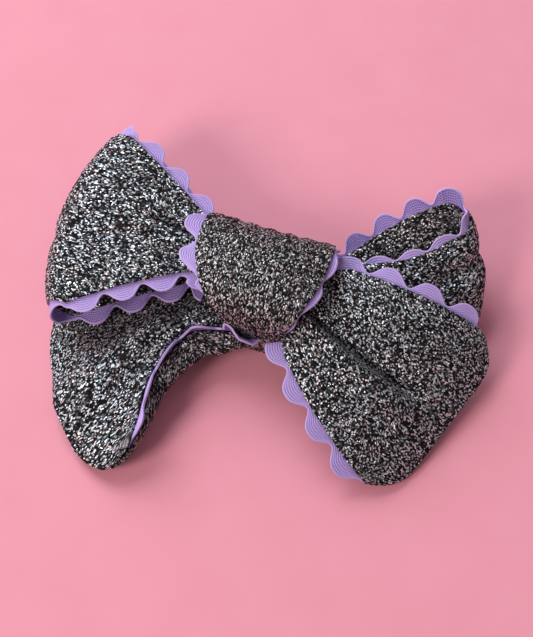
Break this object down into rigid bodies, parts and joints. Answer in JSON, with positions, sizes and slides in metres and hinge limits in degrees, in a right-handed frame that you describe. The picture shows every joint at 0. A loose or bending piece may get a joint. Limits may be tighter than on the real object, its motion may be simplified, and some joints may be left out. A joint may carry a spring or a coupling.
{
  "type": "cheer hair bow",
  "caption": "Tied hair bow of glitter knit with wavy braid in its seams: loops and tails lashed at the waist, a soft knot wrap and a sprung clip that grips the hair.",
  "frame": {"origin": "on the underside of the clip's base, below the middle of the waist", "axes": "+X to the right along the bow as seen from the front, +Y up the bow, +Z out of the front of the knot"},
  "size_m": [0.131, 0.106, 0.0309],
  "materials": {
    "knit": "black and silver metallic-yarn knit with random bright stitches",
    "lining": "the same knit, used as the second layer of each strip",
    "braid": "lavender ribbed wavy braid, matt",
    "thread": "black sewing thread",
    "clip_steel": "plated sheet steel and wire"
  },
  "bodies": {
    "bow": {"left_loop_outer": "knit", "left_loop_lining": "lining", "left_loop_upper_braid": "braid", "left_loop_lower_braid": "braid", "right_loop_outer": "knit", "right_loop_lining": "lining", "right_loop_upper_braid": "braid", "right_loop_lower_braid": "braid", "left_tail_front": "knit", "left_tail_back": "lining", "left_tail_upper_braid": "braid", "left_tail_lower_braid": "braid", "right_tail_front": "knit", "right_tail_back": "lining", "right_tail_upper_braid": "braid", "right_tail_lower_braid": "braid", "knot_wrap_face": "knit", "knot_wrap_lining": "lining", "knot_left_braid": "braid", "knot_right_braid": "braid", "gathering_thread": "thread", "knot_stitches": "thread", "clip_prong": "clip_steel", "clip_pin": "clip_steel", "clip_spring": "clip_steel"},
    "clip_jaw": {"clip_base": "clip_steel"}
  },
  "joints": [
    {"name": "clip_hinge", "type": "hinge", "parent": "bow", "child": "clip_jaw", "pos_m": [-0.014, 0, 0.003], "axis": [0, 1, 0], "range_deg": [0, 20], "stiffness_Nm_per_rad": 0.12, "springref_deg": -28.65, "deforming": ["clip_spring"]}
  ]
}
